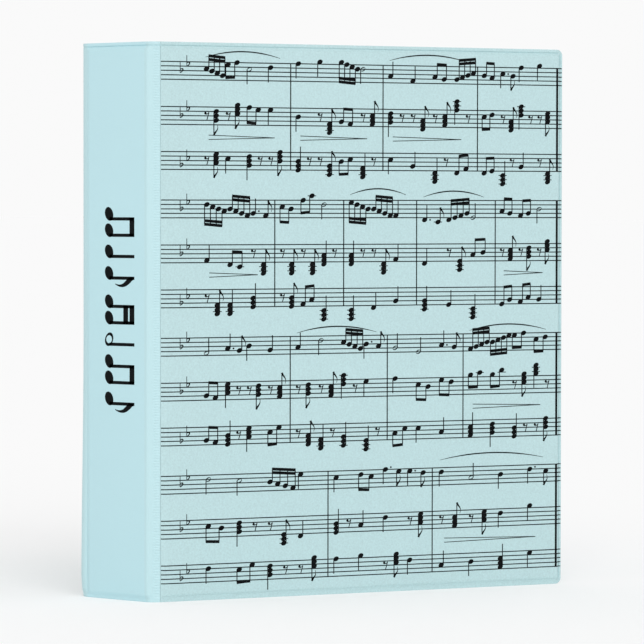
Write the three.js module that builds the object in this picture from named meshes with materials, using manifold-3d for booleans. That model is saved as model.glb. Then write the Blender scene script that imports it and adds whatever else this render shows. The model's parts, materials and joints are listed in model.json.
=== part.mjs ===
// Small three-ring binder with welded vinyl covers, standing upright and slightly ajar.
// Millimetres, +Z up. The spine's outer face looks along -Y, the front cover is on the +X side.

import * as THREE from 'three';
import * as BufferGeometryUtils from 'three/addons/utils/BufferGeometryUtils.js';
import Module from 'manifold-3d';

const wasm = await Module();
wasm.setup();

const { degToRad } = THREE.MathUtils;

// Driving dimensions of the case

const binderHeight = 232;
const spineWidth = 33;
const coverWidth = 190;
const hingeLength = 5.8;
const ajarAngle = degToRad(24.6);
const cornerRadius = 3.5;

// The plies of each panel, from the outer face inwards

const skinThickness = 0.4;
const boardThickness = 2.0;
const linerThickness = 0.3;
const plyGap = 0.1;

// The welded rim round each panel, where skin and liner come together

const rimWidth = 1.8;
const hingeRimWidth = 0.5;
const rimDepth = 1.05;
const shoulderWidth = 0.9;
const edgeRound = 0.25;
const boardClearance = 0.2;
const seamGap = 0.1;
const smallestRadius = 0.3;

// The weld bar pressed into each hinge strip, on its cover side

const weldBarWidth = 2.6;
const weldBarMargin = 0.3;
const weldBarPress = 0.12;

// The pocket welded inside each cover

const pocketHeight = 118;
const pocketThickness = 0.25;
const pocketRaise = 0.6;
const pocketWeldWidth = 2.5;
const pocketHingeMargin = 34;
const pocketEdgeMargin = 3;
const pocketFlare = 1.2;

// The ring metal on the spine

const ringInnerDiameter = 25.4;
const ringWireDiameter = 2.8;
const ringPitch = 69.85;
const ringNames = ['lower', 'middle', 'upper'];
const ringTipGap = 0.15;
const ringFootGap = 0.1;
const ringCentreHeight = 14.2;
const ringFootReach = 6.3;

const housingLength = 200;
const housingWidth = 22;
const housingWall = 0.8;
const housingSideHeight = 2.6;
const housingCrownHeight = 5.4;
const housingLipWidth = 1.3;
const ringSlotClearance = 0.5;
const ringSlotInner = 4.8;
const ringSlotFloor = 1.4;

const plateThickness = 0.8;
const plateEndInset = 8;
const platePivotHeight = 1.4;
const platePivotInset = 0.6;
const plateEdgeOverhang = 0.3;
const plateMiddleGap = 0.1;
const plateClosedTilt = degToRad(4.5);

const rivetFromPlateEnd = 8;
const rivetShankRadius = 2;
const rivetHoleClearance = 0.3;
const rivetHeadRadius = 3.5;
const rivetHeadHeight = 1.4;
const rivetFootRadius = 4.5;
const rivetFootThickness = 0.5;
const plateNotchClearance = 0.9;

const leverWidth = 9;
const leverThickness = 1.1;
const leverPivotFromPlate = 5;
const leverPivotHeight = 2.4;
const leverHubRadius = 1.9;
const leverTongueDrop = 1.3;
const leverTongueEndGap = 0.4;
const leverTabLength = 13;
const leverTabAngle = degToRad(50);
const leverTabTipRadius = 1.3;
const leverSlotClearance = 0.4;
const leverPinRadius = 0.9;
const leverPinClearance = 0.1;
const leverPinOverhang = 0.4;
const lugThickness = 0.8;
const lugHalfLength = 1.7;
const lugWall = 0.7;

// Sizes that follow from the driving dimensions

const panelDepth = skinThickness + plyGap + boardThickness + plyGap + linerThickness;
const boardDepth = skinThickness + plyGap;
const linerDepth = panelDepth - linerThickness;
const rimThickness = skinThickness + plyGap + linerThickness;
const rimMiddle = rimDepth + rimThickness / 2;
const linerRimDepth = rimDepth + skinThickness + plyGap;
const middleHeight = binderHeight / 2;
const bendAngle = Math.PI / 2 - ajarAngle;
const bendRadius = hingeLength / bendAngle;
const mechanismDepth = panelDepth + plyGap;
const ringWireRadius = ringWireDiameter / 2;
const ringMeanRadius = ringInnerDiameter / 2 + ringWireRadius;
const platePivotX = housingWidth / 2 - housingWall - platePivotInset;
const plateWidth = platePivotX - plateMiddleGap;
const plateLength = housingLength - 2 * plateEndInset;
const rivetOffset = plateLength / 2 - rivetFromPlateEnd;
const rivetHoleRadius = rivetShankRadius + rivetHoleClearance;
const leverPivotOffset = plateLength / 2 + leverPivotFromPlate;

// Colours

const finishes = {
    vinyl: { color: 0xc0dfe6, roughness: 0.5, metalness: 0 },
    vinylWeld: { color: 0xc8e8ee, roughness: 0.45, metalness: 0 },
    liner: { color: 0xc9e2e8, roughness: 0.5, metalness: 0 },
    pocket: { color: 0xd2e8ec, roughness: 0.3, metalness: 0 },
    board: { color: 0xa89878, roughness: 0.95, metalness: 0 },
    plating: { color: 0xd4d7da, roughness: 0.22, metalness: 1 },
};

const materials = {};
for (const [name, finish] of Object.entries(finishes)) {
    materials[name] = new THREE.MeshStandardMaterial(finish);
}

// Geometry helpers

/** Keeps positions only, with shared vertices merged and faces pointing out. */
function closed(geometry) {
    geometry.deleteAttribute('normal');
    geometry.deleteAttribute('uv');
    const merged = BufferGeometryUtils.mergeVertices(geometry, 1e-5);
    const position = merged.attributes.position;
    const index = merged.index;
    const [a, b, c] = [new THREE.Vector3(), new THREE.Vector3(), new THREE.Vector3()];
    const kept = [];
    let volume = 0;
    for (let i = 0; i < index.count; i += 3) {
        const corners = [index.getX(i), index.getX(i + 1), index.getX(i + 2)];
        if (new Set(corners).size < 3) {
            continue;
        }
        a.fromBufferAttribute(position, corners[0]);
        b.fromBufferAttribute(position, corners[1]);
        c.fromBufferAttribute(position, corners[2]);
        volume += a.dot(b.cross(c));
        kept.push(corners);
    }
    const ordered = volume < 0 ? kept.map(([i, j, k]) => [i, k, j]) : kept;
    merged.setIndex(ordered.flat());
    return merged;
}

/** Turns a closed geometry into a solid that can be cut. */
function solidOf(geometry) {
    const merged = closed(geometry);
    const mesh = new wasm.Mesh({
        numProp: 3,
        vertProperties: new Float32Array(merged.attributes.position.array),
        triVerts: new Uint32Array(merged.index.array),
    });
    return new wasm.Manifold(mesh);
}

/** Turns a cut solid back into a geometry. */
function geometryOf(solid) {
    const mesh = solid.getMesh();
    const geometry = new THREE.BufferGeometry();
    geometry.setAttribute('position', new THREE.BufferAttribute(mesh.vertProperties, 3));
    geometry.setIndex(new THREE.BufferAttribute(mesh.triVerts, 1));
    return geometry;
}

/** Cuts each tool geometry from a blank geometry. */
function cut(blank, tools) {
    let solid = solidOf(blank);
    for (const tool of tools) {
        solid = solid.subtract(solidOf(tool));
    }
    return geometryOf(solid);
}

/** Joins geometries that overlap into one closed geometry. */
function join(pieces) {
    const solids = pieces.map((piece) => solidOf(piece));
    const whole = solids.reduce((sum, solid) => sum.add(solid));
    return geometryOf(whole);
}

/** A box between two corners. */
function boxBetween(low, high) {
    const size = high.map((value, axis) => value - low[axis]);
    const box = new THREE.BoxGeometry(...size);
    return box.translate(...high.map((value, axis) => (value + low[axis]) / 2));
}

/** A cylinder along Y, between two depths. */
function cylinderAlongY(radius, fromY, toY, x, z, sides = 24) {
    const cylinder = new THREE.CylinderGeometry(radius, radius, toY - fromY, sides);
    return cylinder.translate(x, (fromY + toY) / 2, z);
}

/** A cylinder along X, centred on x = 0. */
function cylinderAlongX(radius, length, y, z, sides = 20) {
    const cylinder = new THREE.CylinderGeometry(radius, radius, length, sides);
    return cylinder.rotateZ(Math.PI / 2).translate(0, y, z);
}

/** Extrudes an outline of [x, y] points along Z. */
function extrudeUp(points, fromZ, toZ) {
    const shape = new THREE.Shape(points.map(([x, y]) => new THREE.Vector2(x, y)));
    const geometry = new THREE.ExtrudeGeometry(shape, { depth: toZ - fromZ, bevelEnabled: false });
    return geometry.translate(0, 0, fromZ);
}

/** Points on an arc, from one angle to another, ends included. */
function arcPoints(centreX, centreY, radius, from, to, steps) {
    const points = [];
    for (let i = 0; i <= steps; i += 1) {
        const angle = from + ((to - from) * i) / steps;
        points.push([centreX + radius * Math.cos(angle), centreY + radius * Math.sin(angle)]);
    }
    return points;
}

// Panels: trays of skin and liner round a board. In a panel's own frame X runs across it, Z up and
// Y inwards from its outer face. A panel's span says where it starts and ends and which ends are free.

/** The panel's outline in X and Z, drawn in from its free edges and from its hinge edges. */
function panelOutline(span, freeInset, hingeInset) {
    const leftInset = span.freeLeft ? freeInset : hingeInset;
    const rightInset = span.freeRight ? freeInset : hingeInset;
    const left = span.from + leftInset;
    const right = span.to - rightInset;
    const bottom = freeInset;
    const top = binderHeight - freeInset;
    const leftRadius = span.freeLeft ? cornerRadius - freeInset : 0;
    const rightRadius = span.freeRight ? cornerRadius - freeInset : 0;
    const corners = [
        [right, bottom, -1, 1, rightRadius, -Math.PI / 2],
        [right, top, -1, -1, rightRadius, 0],
        [left, top, 1, -1, leftRadius, Math.PI / 2],
        [left, bottom, 1, 1, leftRadius, Math.PI],
    ];
    const outline = [];
    for (const [x, z, towardsX, towardsZ, wanted, start] of corners) {
        const radius = Math.max(wanted, smallestRadius);
        const steps = wanted > smallestRadius ? 5 : 2;
        const centreX = x + towardsX * radius;
        const centreZ = z + towardsZ * radius;
        outline.push(...arcPoints(centreX, centreZ, radius, start, start + Math.PI / 2, steps));
    }
    return outline;
}

/** Lofts one closed solid through outlines that lie at rising or falling depths. */
function loftPanel(rings) {
    const count = rings[0].outline.length;
    const positions = [];
    const index = [];
    for (const { outline, depth } of rings) {
        for (const [x, z] of outline) {
            positions.push(x, depth, z);
        }
    }
    for (let ring = 0; ring + 1 < rings.length; ring += 1) {
        for (let k = 0; k < count; k += 1) {
            const next = (k + 1) % count;
            const near = ring * count;
            const far = near + count;
            index.push(near + k, far + k, far + next);
            index.push(near + k, far + next, near + next);
        }
    }
    const last = (rings.length - 1) * count;
    for (let k = 1; k + 1 < count; k += 1) {
        index.push(0, k, k + 1);
        index.push(last, last + k + 1, last + k);
    }
    const geometry = new THREE.BufferGeometry();
    geometry.setAttribute('position', new THREE.Float32BufferAttribute(positions, 3));
    geometry.setIndex(index);
    return geometry;
}

/** A ring of a panel's loft: how far in from the edge it lies, and how deep. */
function panelRing(span, share, depth, extra = 0) {
    const freeInset = rimWidth * share.rim + shoulderWidth * share.shoulder + extra;
    const hingeInset = hingeRimWidth * share.rim + shoulderWidth * share.shoulder + extra;
    return { outline: panelOutline(span, freeInset, hingeInset), depth };
}

const atEdge = { rim: 0, shoulder: 0 };
const atRim = { rim: 1, shoulder: 0 };
const atFace = { rim: 1, shoulder: 1 };

/** The outer vinyl of a panel: a shallow tray with its welded rim. */
function skinGeometry(span) {
    return loftPanel([
        panelRing(span, atFace, 0, edgeRound),
        panelRing(span, atFace, edgeRound / 2),
        panelRing(span, atRim, rimDepth),
        panelRing(span, atEdge, rimDepth),
        panelRing(span, atEdge, rimDepth + skinThickness),
        panelRing(span, atRim, rimDepth + skinThickness),
        panelRing(span, atFace, skinThickness),
    ]);
}

/** The lining of a panel: the same tray from inside. */
function linerGeometry(span) {
    return loftPanel([
        panelRing(span, atFace, linerDepth),
        panelRing(span, atRim, linerRimDepth),
        panelRing(span, atEdge, linerRimDepth),
        panelRing(span, atEdge, linerRimDepth + linerThickness),
        panelRing(span, atRim, linerRimDepth + linerThickness),
        panelRing(span, atFace, panelDepth - edgeRound / 2),
        panelRing(span, atFace, panelDepth, edgeRound),
    ]);
}

/** The stiff board between skin and lining. */
function boardGeometry(span) {
    return loftPanel([
        panelRing(span, atFace, boardDepth, boardClearance),
        panelRing(span, atFace, boardDepth + boardThickness, boardClearance),
    ]);
}

// The spans of the three panels. The rear cover's hinge edge is at its own X = 0 too.

const spineSpan = { from: -spineWidth / 2, to: spineWidth / 2, freeLeft: false, freeRight: false };
const frontSpan = { from: 0, to: coverWidth, freeLeft: false, freeRight: true };
const rearSpan = { from: -coverWidth, to: 0, freeLeft: true, freeRight: false };

// Hinge strips: skin and lining fused flat between spine and cover, bent in one even curve

/** Half the strip's thickness at a distance along it from the spine. */
function stripHalfThickness(along) {
    const barEnd = hingeLength - weldBarMargin;
    const barStart = barEnd - weldBarWidth;
    const pressed = along > barStart && along < barEnd;
    return rimThickness / 2 - (pressed ? weldBarPress : 0);
}

/** A point beside the strip's middle line, at a distance along it. */
function stripPoint(along, offset, side) {
    const turned = along / bendRadius;
    const startX = spineWidth / 2;
    const x = startX + bendRadius * Math.sin(turned) - offset * Math.sin(turned);
    const y = rimMiddle + bendRadius * (1 - Math.cos(turned)) + offset * Math.cos(turned);
    return [side * x, y];
}

/** The hinge strip on one side of the spine: side is 1 for the front cover and -1 for the rear. */
function hingeStripGeometry(side) {
    const stations = [];
    const barEnd = hingeLength - weldBarMargin;
    const barStart = barEnd - weldBarWidth;
    const step = 0.05;
    const evenStations = 8;
    for (let i = 0; i <= evenStations; i += 1) {
        stations.push(seamGap + ((hingeLength - 2 * seamGap) * i) / evenStations);
    }
    stations.push(barStart - step, barStart + step, barEnd - step, barEnd + step);
    stations.sort((low, high) => low - high);
    const outer = stations.map((along) => stripPoint(along, -stripHalfThickness(along), side));
    const inner = stations.map((along) => stripPoint(along, stripHalfThickness(along), side));
    return extrudeUp([...outer, ...inner.reverse()], 0, binderHeight);
}

// Pockets: a sheet welded to the cover's lining along three sides, open at the top

/** The pocket inside a cover, in the cover panel's frame. */
function pocketGeometry(span) {
    const hingeSide = span.freeLeft ? -1 : 1;
    const nearX = pocketHingeMargin;
    const farX = coverWidth - rimWidth - shoulderWidth - pocketEdgeMargin;
    const back = panelDepth + plyGap;
    const bottom = rimWidth + shoulderWidth + pocketEdgeMargin;
    const liftedBack = back + pocketRaise;
    const innerNear = nearX + pocketWeldWidth;
    const innerFar = farX - pocketWeldWidth;
    const section = [
        [nearX, back],
        [innerNear, back],
        [innerNear + pocketFlare, liftedBack],
        [innerFar - pocketFlare, liftedBack],
        [innerFar, back],
        [farX, back],
        [farX, back + pocketThickness],
        [innerFar, back + pocketThickness],
        [innerFar - pocketFlare, liftedBack + pocketThickness],
        [innerNear + pocketFlare, liftedBack + pocketThickness],
        [innerNear, back + pocketThickness],
        [nearX, back + pocketThickness],
    ].map(([x, y]) => [hingeSide * x, y]);
    const sheet = extrudeUp(section, bottom, bottom + pocketHeight);
    const [lowX, highX] = [hingeSide * innerNear, hingeSide * innerFar].sort((a, b) => a - b);
    const floor = boxBetween(
        [lowX, back, bottom],
        [highX, back + pocketThickness, bottom + pocketWeldWidth],
    );
    const flareSection = [
        [lowX, back],
        [highX, back],
        [highX - pocketFlare, liftedBack],
        [highX - pocketFlare, liftedBack + pocketThickness],
        [lowX + pocketFlare, liftedBack + pocketThickness],
        [lowX + pocketFlare, liftedBack],
    ];
    const seam = extrudeUp(flareSection, bottom, bottom + pocketWeldWidth);
    return join([sheet, floor, seam]);
}

// The ring metal, in a frame whose origin is on the spine's lining at half height

/** Height of the housing's arch above the lining, outside or inside its wall. */
function archHeight(x, wall) {
    const rise = housingCrownHeight - housingSideHeight;
    const radius = ((housingWidth / 2) ** 2 + rise ** 2) / (2 * rise);
    return housingCrownHeight - radius + Math.sqrt((radius - wall) ** 2 - x ** 2);
}

/** The arched steel channel that holds the two hinge plates along their outer edges. */
function housingGeometry() {
    const outerX = housingWidth / 2;
    const innerX = outerX - housingWall;
    const steps = 12;
    const outline = [];
    for (let i = 0; i <= steps; i += 1) {
        const x = outerX - (2 * outerX * i) / steps;
        outline.push([x, archHeight(x, 0)]);
    }
    outline.push([-outerX, 0], [-innerX + housingLipWidth, 0]);
    outline.push([-innerX + housingLipWidth, housingWall], [-innerX, housingWall]);
    for (let i = 0; i <= steps; i += 1) {
        const x = -innerX + (2 * innerX * i) / steps;
        outline.push([x, archHeight(x, housingWall)]);
    }
    outline.push([innerX, housingWall], [innerX - housingLipWidth, housingWall]);
    outline.push([innerX - housingLipWidth, 0], [outerX, 0]);
    const channel = extrudeUp(outline, -housingLength / 2, housingLength / 2);

    const slotHalf = ringWireRadius + ringSlotClearance;
    const above = housingCrownHeight + housingWall;
    const tools = [];
    for (const ringZ of ringPositions()) {
        for (const side of [-1, 1]) {
            const reach = [side * ringSlotInner, side * (outerX + housingWall)].sort((a, b) => a - b);
            tools.push(boxBetween(
                [reach[0], ringSlotFloor, ringZ - slotHalf],
                [reach[1], above, ringZ + slotHalf],
            ));
        }
    }
    const leverSlotHalf = leverWidth / 2 + leverSlotClearance;
    const pieces = [channel];
    for (const end of [-1, 1]) {
        tools.push(cylinderAlongY(rivetHoleRadius, housingSideHeight, above, 0, end * rivetOffset));
        const slotStart = leverPivotOffset - leverHubRadius - leverSlotClearance;
        const slotEnd = housingLength / 2 + housingWall;
        const reach = [end * slotStart, end * slotEnd].sort((a, b) => a - b);
        tools.push(boxBetween(
            [-leverSlotHalf, housingWall, reach[0]],
            [leverSlotHalf, above, reach[1]],
        ));
        const pinHoleRadius = leverPinRadius + leverPinClearance;
        const lugFoot = leverPivotHeight - pinHoleRadius - lugWall;
        for (const side of [-1, 1]) {
            const lugX = [side * leverSlotHalf, side * (leverSlotHalf + lugThickness)].sort((a, b) => a - b);
            const lugTop = archHeight(leverSlotHalf + lugThickness, housingWall / 2);
            pieces.push(boxBetween(
                [lugX[0], lugFoot, end * leverPivotOffset - lugHalfLength],
                [lugX[1], lugTop, end * leverPivotOffset + lugHalfLength],
            ));
        }
        const holeLength = 2 * (leverSlotHalf + lugThickness + leverPinOverhang);
        tools.push(cylinderAlongX(pinHoleRadius, holeLength, leverPivotHeight, end * leverPivotOffset));
    }
    return cut(join(pieces), tools);
}

/** Heights of the rings along the spine, from its middle. */
function ringPositions() {
    return ringNames.map((name, i) => (i - (ringNames.length - 1) / 2) * ringPitch);
}

/** A hinge plate with its middle edge clear of the rivets, tilted to the closed position. */
function hingePlateGeometry(side) {
    const notchRadius = rivetShankRadius + plateNotchClearance;
    const middle = -plateWidth;
    const half = plateLength / 2;
    const outline = [[plateEdgeOverhang, -half], [plateEdgeOverhang, half], [middle, half]];
    for (const z of [rivetOffset, -rivetOffset]) {
        outline.push(...arcPoints(middle, z, notchRadius, Math.PI / 2, -Math.PI / 2, 8));
    }
    outline.push([middle, -half]);
    const shape = new THREE.Shape(outline.map(([x, z]) => new THREE.Vector2(side * x, z)));
    const plate = new THREE.ExtrudeGeometry(shape, { depth: plateThickness, bevelEnabled: false });
    plate.rotateX(Math.PI / 2).translate(0, plateThickness / 2, 0);
    return placeOnPivot(plate, side);
}

/** Tilts a piece drawn about a plate's pivot to the closed position and sets it on the pivot. */
function placeOnPivot(geometry, side) {
    geometry.rotateZ(side * plateClosedTilt);
    return geometry.translate(side * platePivotX, platePivotHeight, 0);
}

/** Half a ring: wire bent round from its foot on the hinge plate to its tip over the middle. */
function halfRingGeometry(side, ringZ) {
    const tipAngle = Math.acos(ringTipGap / ringMeanRadius);
    const footAngle = -Math.acos(ringFootReach / ringMeanRadius);
    const steps = 30;
    const centreLine = arcPoints(0, ringCentreHeight, ringMeanRadius, footAngle, tipAngle, steps);
    const path = new THREE.CatmullRomCurve3(
        centreLine.map(([x, y]) => new THREE.Vector3(side * x, y, ringZ)),
    );
    const section = new THREE.Shape(
        arcPoints(0, 0, ringWireRadius, 0, 2 * Math.PI, 12)
            .slice(0, -1)
            .map(([x, y]) => new THREE.Vector2(x, y)),
    );
    const wire = new THREE.ExtrudeGeometry(section, { steps, extrudePath: path });
    const plateTop = plateThickness / 2 + ringFootGap;
    const reach = ringMeanRadius;
    const below = boxBetween([-reach, -reach, ringZ - reach], [reach, plateTop, ringZ + reach]);
    return cut(wire, [placeOnPivot(below, side)]);
}

/** A rivet set through housing, lining and board: end is 1 for the upper one and -1 for the lower. */
function rivetGeometry(end) {
    const footOuter = boardDepth - mechanismDepth + rivetFootClearance();
    const headSeat = housingCrownHeight + plyGap;
    const dome = [];
    const domeSteps = 6;
    for (let i = 1; i <= domeSteps; i += 1) {
        const angle = (Math.PI / 2) * (i / domeSteps);
        dome.push([rivetHeadRadius * Math.cos(angle), headSeat + rivetHeadHeight * Math.sin(angle)]);
    }
    dome[domeSteps - 1][0] = 0;
    const profile = [
        [0, footOuter],
        [rivetFootRadius, footOuter],
        [rivetFootRadius, footOuter + rivetFootThickness],
        [rivetShankRadius, footOuter + rivetFootThickness],
        [rivetShankRadius, headSeat],
        [rivetHeadRadius, headSeat],
        ...dome,
    ].map(([r, y]) => new THREE.Vector2(r, y));
    const rivet = new THREE.LatheGeometry(profile, 24);
    return rivet.translate(0, 0, end * rivetOffset);
}

/** The rivet's foot lies this far under the board's outer face. */
function rivetFootClearance() {
    return plyGap / 2;
}

/** The booster lever at one end: tongue under the plates, hub on its pin, and finger tab. */
function leverGeometry(end) {
    const tongueLength = leverPivotFromPlate - leverTongueEndGap;
    const tongueAngle = Math.PI + Math.asin(leverTongueDrop / tongueLength);
    const half = leverThickness / 2;
    const bars = [
        { angle: tongueAngle, length: tongueLength },
        { angle: leverTabAngle, length: leverTabLength },
    ];
    const pieces = bars.map(({ angle, length }) => {
        const bar = boxBetween([-leverWidth / 2, -half, 0], [leverWidth / 2, half, length]);
        return bar.rotateX(-angle);
    });
    pieces.push(cylinderAlongX(leverHubRadius, leverWidth, 0, 0));
    const tipY = leverTabLength * Math.sin(leverTabAngle);
    const tipZ = leverTabLength * Math.cos(leverTabAngle);
    pieces.push(cylinderAlongX(leverTabTipRadius, leverWidth, tipY, tipZ, 14));
    const hole = cylinderAlongX(leverPinRadius + leverPinClearance, leverWidth * 2, 0, 0);
    const lever = cut(join(pieces), [hole]);
    if (end < 0) {
        lever.rotateY(Math.PI);
    }
    return lever.translate(0, leverPivotHeight, end * leverPivotOffset);
}

/** The pin that a lever turns on. */
function leverPinGeometry(end) {
    const halfLength = leverWidth / 2 + leverSlotClearance + lugThickness + leverPinOverhang / 2;
    return cylinderAlongX(leverPinRadius, 2 * halfLength, leverPivotHeight, end * leverPivotOffset);
}

// Assembly

/** Adds a named mesh to a group. */
function place(group, name, geometry, material) {
    const mesh = new THREE.Mesh(closed(geometry), material);
    mesh.name = name;
    group.add(mesh);
}

const binder = new THREE.Group();

const spine = new THREE.Group();
const metalFrom = mechanismDepth;
const rivetTools = [-1, 1].map((end) => cylinderAlongY(
    rivetHoleRadius,
    0,
    metalFrom,
    0,
    middleHeight + end * rivetOffset,
));
const recessTools = [-1, 1].map((end) => cylinderAlongY(
    rivetFootRadius + rivetHoleClearance,
    0,
    boardDepth + rivetFootThickness + plyGap,
    0,
    middleHeight + end * rivetOffset,
));
place(spine, 'spine_skin', skinGeometry(spineSpan), materials.vinyl);
const drilledBoard = cut(boardGeometry(spineSpan), [...rivetTools, ...recessTools]);
place(spine, 'spine_board', drilledBoard, materials.board);
place(spine, 'spine_liner', cut(linerGeometry(spineSpan), rivetTools), materials.liner);
place(spine, 'front_hinge_strip', hingeStripGeometry(1), materials.vinylWeld);
place(spine, 'rear_hinge_strip', hingeStripGeometry(-1), materials.vinylWeld);
binder.add(spine);

// Each cover panel starts where its hinge strip ends, turned to the cover's direction

const hingeEndX = spineWidth / 2 + bendRadius * Math.sin(bendAngle);
const hingeEndY = rimMiddle + bendRadius * (1 - Math.cos(bendAngle));
const covers = [
    { name: 'front', side: 1, span: frontSpan },
    { name: 'back', side: -1, span: rearSpan },
];
for (const { name, side, span } of covers) {
    const cover = new THREE.Group();
    cover.position.set(
        side * (hingeEndX + rimMiddle * Math.cos(ajarAngle)),
        hingeEndY - rimMiddle * Math.sin(ajarAngle),
        0,
    );
    cover.rotation.z = side * bendAngle;
    place(cover, `${name}_skin`, skinGeometry(span), materials.vinyl);
    place(cover, `${name}_board`, boardGeometry(span), materials.board);
    place(cover, `${name}_liner`, linerGeometry(span), materials.liner);
    place(cover, `${name}_pocket`, pocketGeometry(span), materials.pocket);
    binder.add(cover);
}

const ringMetal = new THREE.Group();
ringMetal.position.set(0, mechanismDepth, middleHeight);
place(ringMetal, 'ring_housing', housingGeometry(), materials.plating);
for (const [prefix, side] of [['front', 1], ['rear', -1]]) {
    place(ringMetal, `${prefix}_hinge_plate`, hingePlateGeometry(side), materials.plating);
    ringPositions().forEach((ringZ, i) => {
        const name = `${prefix}_half_ring_${ringNames[i]}`;
        place(ringMetal, name, halfRingGeometry(side, ringZ), materials.plating);
    });
}
for (const [prefix, end] of [['upper', 1], ['lower', -1]]) {
    place(ringMetal, `${prefix}_rivet`, rivetGeometry(end), materials.plating);
    place(ringMetal, `${prefix}_lever`, leverGeometry(end), materials.plating);
    place(ringMetal, `${prefix}_lever_pin`, leverPinGeometry(end), materials.plating);
}
binder.add(ringMetal);

// The origin is on the floor, under the middle of the whole binder

binder.updateMatrixWorld(true);
const extent = new THREE.Box3().setFromObject(binder, true);
binder.position.y = -(extent.min.y + extent.max.y) / 2;

export default binder;
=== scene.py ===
import json
import logging
import math
import random
from abc import ABC, abstractmethod
from dataclasses import dataclass, field
from enum import Enum

import bmesh
import bpy
from mathutils import Matrix, Vector


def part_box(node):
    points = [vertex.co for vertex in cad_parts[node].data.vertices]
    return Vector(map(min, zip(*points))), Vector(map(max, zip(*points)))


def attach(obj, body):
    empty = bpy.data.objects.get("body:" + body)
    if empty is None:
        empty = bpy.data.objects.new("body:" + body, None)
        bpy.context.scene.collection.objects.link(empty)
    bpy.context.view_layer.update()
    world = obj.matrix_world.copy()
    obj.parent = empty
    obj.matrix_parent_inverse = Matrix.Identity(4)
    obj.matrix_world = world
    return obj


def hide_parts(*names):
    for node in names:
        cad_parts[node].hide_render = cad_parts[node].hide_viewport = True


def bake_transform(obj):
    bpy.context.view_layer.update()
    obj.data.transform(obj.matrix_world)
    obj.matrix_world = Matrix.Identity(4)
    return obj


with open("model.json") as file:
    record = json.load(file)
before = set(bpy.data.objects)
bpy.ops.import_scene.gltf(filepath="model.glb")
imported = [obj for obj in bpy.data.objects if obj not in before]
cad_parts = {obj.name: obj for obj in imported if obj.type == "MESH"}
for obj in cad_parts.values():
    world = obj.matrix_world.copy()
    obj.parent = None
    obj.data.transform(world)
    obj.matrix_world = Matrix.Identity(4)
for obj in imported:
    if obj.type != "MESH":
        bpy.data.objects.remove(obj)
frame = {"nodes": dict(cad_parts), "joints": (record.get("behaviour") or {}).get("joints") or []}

MM = 0.001
LOG = logging.getLogger("binder")

Point = tuple[float, float]
Triple = tuple[float, float, float]
Color = Triple
Face = tuple[int, ...]
Shell = tuple[list[Vector], list[Face]]
Socket = bpy.types.NodeSocket


# Sizes, in millimetres, read from the frame or named here as on the solids


class Side(Enum):
    """Which cover a panel belongs to, with the sign of its X."""

    FRONT = 1
    BACK = -1


class Edge(Enum):
    """How an edge of a panel ends."""

    WELDED = "a flat welded rim with a soft shoulder"
    FOOT = "a narrow welded rim under a long soft shoulder"
    WELD_BAR = "a long rise from the hinge strip's weld bar"
    FLUSH = "straight on into the hinge strip"
    ROUNDED = "eased over into the hinge strip"


def shares(count: int) -> list[float]:
    """Even steps from 0 to 1."""
    return [i / count for i in range(count + 1)]


def ease(share: float) -> float:
    """A smooth step from 0 to 1, level at both ends."""
    return share * share * (3 - 2 * share)


@dataclass(frozen=True)
class CaseSizes:
    """The binder case's sizes in millimetres."""

    height: float
    spine_width: float
    cover_width: float
    ajar: float
    face_y: float
    hinge_length: float = 5.8
    rim_width: float = 1.8
    rim_depth: float = 1.05
    rim_middle: float = 1.45
    rim_thickness: float = 0.8
    rim_break: Point = (0.1, 0.3)
    break_drop: Point = (0.1, 0.02)
    shoulder: float = 1.5
    shoulder_steps: int = 8
    foot_rim: float = 0.7
    foot_depth: float = 0.8
    foot_crease: Point = (0.2, 0.1)
    groove: float = 0.32
    groove_lead: Point = (0.55, 0.25)
    side_share: float = 0.75
    bar_rim: tuple[float, ...] = (0.0, 0.03, 0.06, 0.1, 0.12)
    bar_rim_width: float = 0.14
    hinge_rise: float = 3.2
    rounded_width: float = 2.2
    rounded_drop: float = 0.75
    rounded_power: float = 1.35
    flush: tuple[Point, ...] = ((0.0, 0.03), (0.3, 0.01), (0.8, 0.0))
    corner_radius: float = 2.7
    corner_steps: int = 10
    smallest_radius: float = 0.3

    @classmethod
    def from_frame(cls) -> "CaseSizes":
        """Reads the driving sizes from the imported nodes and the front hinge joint.

        Returns:
            The sizes.
        """
        low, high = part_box("spine_skin")
        cover_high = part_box("front_skin")[1]
        joint = next(j for j in frame["joints"] if j["name"] == "front_cover_hinge")
        ajar = math.radians(-joint["range_deg"][0])
        bend = math.pi / 2 - ajar
        radius = cls.hinge_length / bend
        strip_end_x = (high.x / MM) + radius * math.sin(bend)
        rim_outer_x = strip_end_x + cls.rim_thickness / 2 * math.cos(ajar)
        width = (cover_high.x / MM - rim_outer_x) / math.sin(ajar)
        return cls(
            height=high.z / MM,
            spine_width=(high.x - low.x) / MM,
            cover_width=round(width, 1),
            ajar=ajar,
            face_y=low.y / MM,
        )

    @property
    def bend(self) -> float:
        """The angle that each hinge strip bends through at rest."""
        return math.pi / 2 - self.ajar

    @property
    def bend_radius(self) -> float:
        """The radius of a hinge strip's middle line."""
        return self.hinge_length / self.bend


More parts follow.
